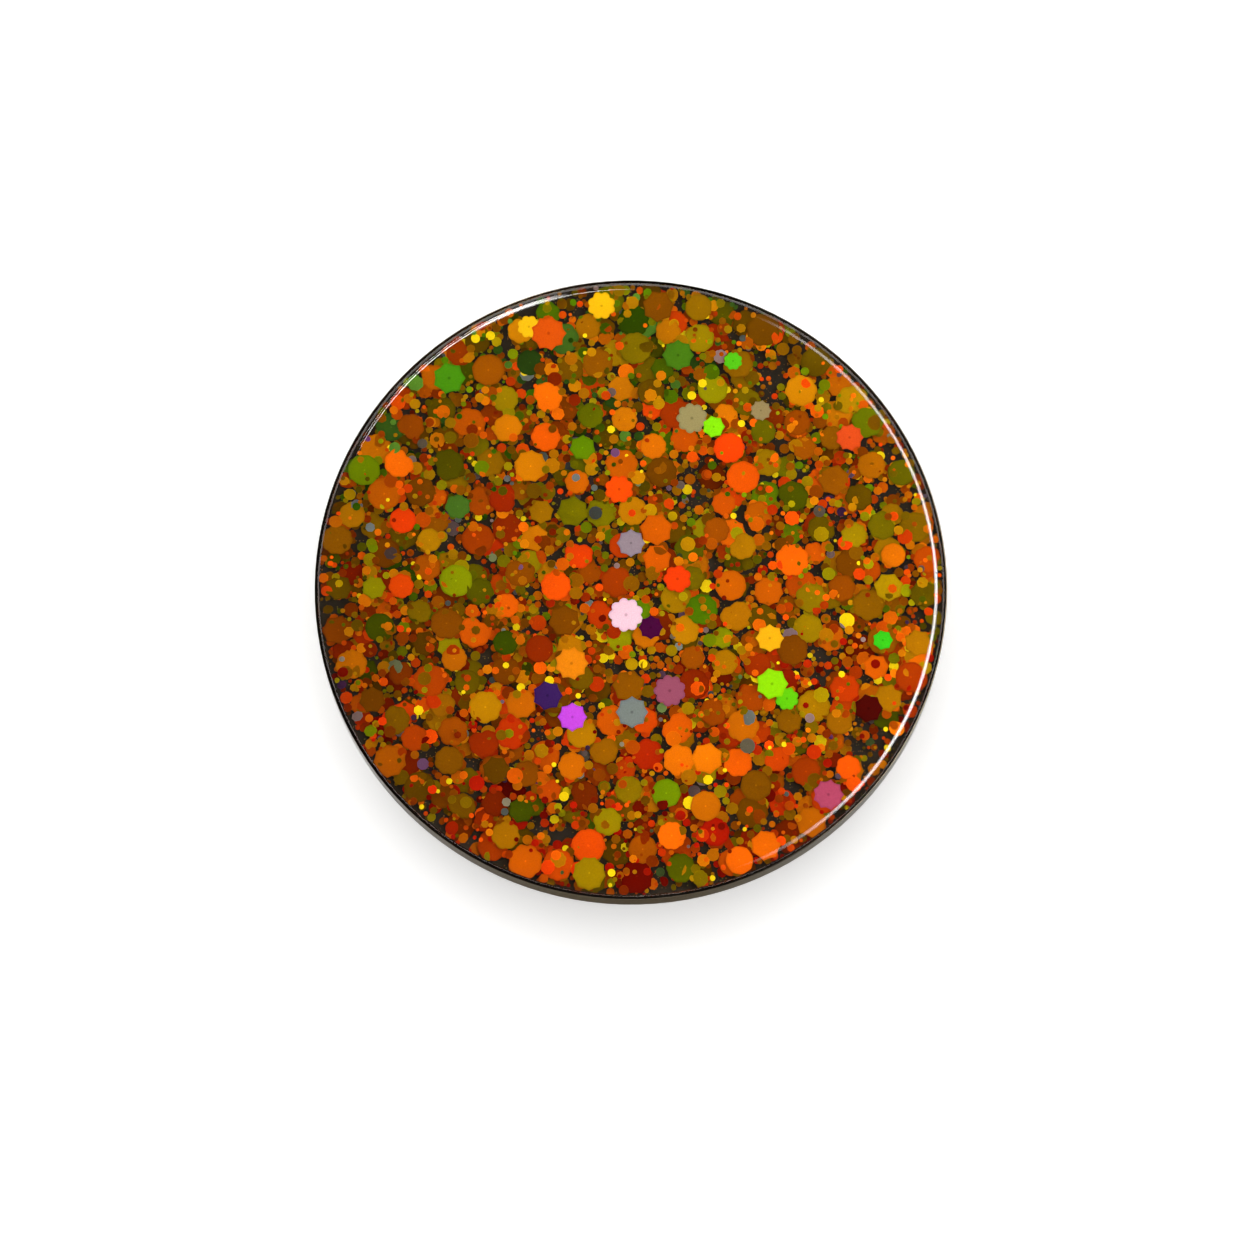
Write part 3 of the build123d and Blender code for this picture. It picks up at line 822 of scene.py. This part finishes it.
def spring_wire(side):
    """An open ring of round wire, as deep and wide as its CAD stand-in."""
    low, high = (Vector(corner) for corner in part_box(f"clutch_spring_{side}"))
    middle = (low.z + high.z) / 2
    wire = (high.z - low.z) / 2
    radius = (high.y - low.y) / 2 - wire
    curve = bpy.data.curves.new(f"spring_{side}", "CURVE")
    curve.dimensions, curve.bevel_depth, curve.bevel_resolution, curve.use_fill_caps = "3D", wire, 3, True
    line = curve.splines.new("POLY")
    opening = math.radians(SPRING_OPENING)
    steps = 56
    line.points.add(steps)
    for k, point in enumerate(line.points):
        angle = opening / 2 + (2 * math.pi - opening) * k / steps
        point.co = (post_x[side] + radius * math.cos(angle), radius * math.sin(angle), middle, 1.0)
    holder = bpy.data.objects.new(f"spring_{side}", curve)
    scene.collection.objects.link(holder)
    depsgraph = bpy.context.evaluated_depsgraph_get()
    mesh = bpy.data.meshes.new_from_object(holder.evaluated_get(depsgraph), depsgraph=depsgraph)
    bpy.data.objects.remove(holder)
    shape = bmesh.new()
    shape.from_mesh(mesh)
    bmesh.ops.remove_doubles(shape, verts=shape.verts, dist=1e-7)
    bmesh.ops.recalc_face_normals(shape, faces=shape.faces)
    shape.to_mesh(mesh)
    shape.free()
    mesh.polygons.foreach_set("use_smooth", [True] * len(mesh.polygons))
    mesh.set_sharp_from_angle(angle=math.radians(50))
    mesh.materials.clear()
    mesh.materials.append(spring_steel)
    piece = bpy.data.objects.new(f"spring_{side}", mesh)
    scene.collection.objects.link(piece)
    flattened = 1 - WING_TRAVEL / (radius + wire)
    print(f"spring_{side}: ring radius {radius / MM:.2f} mm, {len(mesh.polygons)} faces")
    return piece, (post_x[side], 0.0, middle), flattened


springs = {side: spring_wire(side) for side in sides}

# %% [markdown]
# ## Finishes for the CAD pieces
# The CAD meshes already have the right shape, so each only takes its material. A piece of one metal gets
# one material; the names in this table are the nodes' own.

# %% Finishes
finishes = {"base_tray": black_nickel, "black_enamel": black_enamel}
for side in sides:
    finishes[f"post_{side}"] = post_steel
    finishes[f"solder_{side}"] = solder_finish
    finishes[f"clutch_face_{side}"] = cap_nickel
    finishes[f"clutch_cap_{side}"] = cap_nickel
    finishes[f"clutch_wing_back_{side}"] = wing_nickel
    finishes[f"clutch_wing_front_{side}"] = wing_nickel
for name, material in finishes.items():
    node = frame["nodes"][name]
    for slot_index in range(max(1, len(node.material_slots))):
        node.material_slots[slot_index].material = material
print("finished nodes:", len(finishes))

# %% [markdown]
# ## What rides on what
# Every new piece is tied to the CAD body that carries it, so that it moves with that body's joint. The
# clear body stands for two CAD nodes, and each spring for its own.

# %% Riding
for piece in flakes:
    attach(piece, "pin")
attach(clear_body, "pin")
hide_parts("epoxy_dome", "glitter_coat")
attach(pebbles, "pin")
for side, (piece, anchor, flattened) in springs.items():
    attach(piece, f"clutch_{side}")
    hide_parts(f"clutch_spring_{side}")
    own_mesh(piece)

# %% [markdown]
# ## The floor
# The pin stands on its clutches on a sheet of white paper over a light table, so the paper glows a little.
# That keeps the shadow under the pin pale, as catalogues like it. Seen from underneath the sheet is clear,
# so that the back of the pin can be looked at too. When the left clutch is drawn off its post the sheet
# goes down with it, because the clutch would vanish under it otherwise.

# %% Floor
def paper_floor():
    """A wide sheet of white paper under the pin."""
    made = bpy.data.materials.new("white_paper")
    made.use_nodes = True
    tree = made.node_tree
    shader = tree.nodes["Principled BSDF"]
    place = add(tree, "ShaderNodeTexCoord").outputs["Object"]
    fibre = add(tree, "ShaderNodeTexNoise", {"Vector": place, "Scale": 120.0, "Detail": 4.0})
    tone = blend(tree, fibre.outputs[0], (0.93, 0.93, 0.93, 1), (0.96, 0.96, 0.955, 1))
    tree.links.new(tone, shader.inputs["Base Color"])
    tree.links.new(tone, shader.inputs["Emission Color"])
    shader.inputs["Emission Strength"].default_value = 0.32
    shader.inputs["Roughness"].default_value = 1.0
    shader.inputs["Specular IOR Level"].default_value = 0.0
    below = add(tree, "ShaderNodeNewGeometry").outputs["Backfacing"]
    through = add(tree, "ShaderNodeBsdfTransparent").outputs[0]
    open_under = add(tree, "ShaderNodeMixShader", {0: below, 1: shader.outputs[0], 2: through})
    tree.links.new(open_under.outputs[0], tree.nodes["Material Output"].inputs["Surface"])
    mesh = bpy.data.meshes.new("paper_floor")
    reach, height = 1.5, cad_low.z
    mesh.from_pydata([(-reach, -reach, height), (reach, -reach, height), (reach, reach, height),
                      (-reach, reach, height)], [], [(0, 1, 2, 3)])
    mesh.materials.append(made)
    sheet = bpy.data.objects.new("paper_floor", mesh)
    scene.collection.objects.link(sheet)
    return sheet


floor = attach(paper_floor(), "clutch_left")
print(f"floor at {cad_low.z / MM:.2f} mm")

# %% [markdown]
# ## Camera
# The camera looks steeply down from the front. It is aimed a little in front of the pin's centre, which
# leaves more white paper below the pin than above it.

# %% Camera
CAMERA_RISE = math.radians(78.5)
CAMERA_DISTANCE = 0.300
SEEN_WIDTH = 63.4 * MM
SENSOR = 36.0
towards = Vector((0, -math.cos(CAMERA_RISE), math.sin(CAMERA_RISE)))
image_up = Vector((0, math.sin(CAMERA_RISE), math.cos(CAMERA_RISE)))
aim = Vector((-0.2 * MM, 0, rim_top)) - image_up * 2.05 * MM
camera = bpy.data.objects.new("camera", bpy.data.cameras.new("camera"))
camera.data.sensor_width = SENSOR
camera.data.lens = SENSOR * CAMERA_DISTANCE / SEEN_WIDTH
camera.data.clip_start, camera.data.clip_end = 0.01, 10.0
camera.location = aim + towards * CAMERA_DISTANCE
camera.rotation_mode = "QUATERNION"
camera.rotation_quaternion = (-towards).to_track_quat("-Z", "Y")
scene.collection.objects.link(camera)
scene.camera = camera
print(f"lens {camera.data.lens:.0f} mm")

# %% [markdown]
# ## Lamps
# A glossy dome mirrors its surroundings, so its look is set by where the lamps are, not by how bright they
# are. The work is split: one wide lamp overhead lights the flakes and the floor but isn't mirrored, and a
# window behind and a long strip on the right are mirrored in the round shoulder but light nothing. For a
# highlight at a given place on the shoulder, the lamp stands where the camera's line of sight is mirrored
# to from there. The mirrored lamps fade towards their edges, so a highlight has soft ends, and the strip is
# a row of them.

# %% Lamps
def fade_to_edges(data):
    """Let a lamp's light die away towards its edges, as a curtain or a soft box does."""
    data.use_nodes = True
    tree = data.node_tree
    across, tall, _ = add(tree, "ShaderNodeSeparateXYZ",
                          {0: add(tree, "ShaderNodeNewGeometry").outputs["Parametric"]}).outputs
    humps = [maths(tree, "SINE", maths(tree, "MULTIPLY", way, math.pi)) for way in (across, tall)]
    both = maths(tree, "MULTIPLY", *(maths(tree, "MAXIMUM", hump, 0.0) for hump in humps))
    tree.links.new(maths(tree, "POWER", both, 1.3), tree.nodes["Emission"].inputs["Strength"])


def lamp(name, away, across, tall, strength, mirrored, lights, distance=0.6):
    """A soft lamp aimed at the pin from the direction `away`; strength is its brightness."""
    data = bpy.data.lights.new(name, "AREA")
    data.shape, data.size, data.size_y = "RECTANGLE", across, tall
    data.energy = strength * math.pi * across * tall
    made = bpy.data.objects.new(name, data)
    made.location = away * distance
    made.rotation_mode = "QUATERNION"
    made.rotation_quaternion = (-away).to_track_quat("-Z", "Y")
    made.visible_camera, made.visible_glossy, made.visible_diffuse = False, mirrored, lights
    if mirrored:
        fade_to_edges(data)
    scene.collection.objects.link(made)
    return made


def mirrored_from(round_the_edge, slope):
    """Where the camera's sight is mirrored to from the shoulder, whose place is given in degrees."""
    a, s = math.radians(round_the_edge), math.radians(slope)
    normal = Vector((math.sin(s) * math.cos(a), math.sin(s) * math.sin(a), math.cos(s)))
    return (2 * normal.dot(towards) * normal - towards).normalized()


lamp("overhead", Vector((0, 0, 1)), across=0.36, tall=0.34, strength=5.6, mirrored=False, lights=True)

# Each entry: name, place round the edge and slope of the shoulder in degrees, width, height, brightness.
HIGHLIGHTS = [
    ("window", 112, 29, 0.16, 0.36, 24.0),
    ("window_wing", 101, 25, 0.18, 0.08, 12.0),
]
for k, edge_angle in enumerate((122, 133, 144)):
    HIGHLIGHTS.append((f"window_side_{k}", edge_angle, 27, 0.17, 0.07, 28.0 - 5 * k))
    HIGHLIGHTS.append((f"window_sill_{k}", edge_angle, 34, 0.17, 0.03, 24.0 - 5 * k))
STRIP_LAMPS = ((46, 8.8), (24, 16.5), (2, 23.1), (-20, 24.2), (-38, 16.5), (-52, 5.5))
for k, (edge_angle, strength) in enumerate(STRIP_LAMPS):
    HIGHLIGHTS.append((f"strip_{k}", edge_angle, 24.5, 0.28, 0.24, strength))
for name, edge_angle, slope, across, tall, strength in HIGHLIGHTS:
    lamp(name, mirrored_from(edge_angle, slope), across, tall, strength, mirrored=True, lights=False)

world = bpy.data.worlds.new("studio")
scene.world = world
world.use_nodes = True
room = world.node_tree
sky = room.nodes["Background"]
sky.inputs["Color"].default_value = (1.0, 0.985, 0.965, 1.0)
direction = add(room, "ShaderNodeTexCoord").outputs["Generated"]
upward = add(room, "ShaderNodeSeparateXYZ", {0: direction}).outputs[2]
seen = map_range(room, upward, 0.0, 0.8, 0.08, 0.02)
filling = add(room, "ShaderNodeLightPath").outputs["Is Diffuse Ray"]
glow = add(room, "ShaderNodeMix", {0: filling, 2: seen, 3: 0.55}).outputs[0]
room.links.new(glow, sky.inputs["Strength"])
scene.view_settings.view_transform = "Standard"
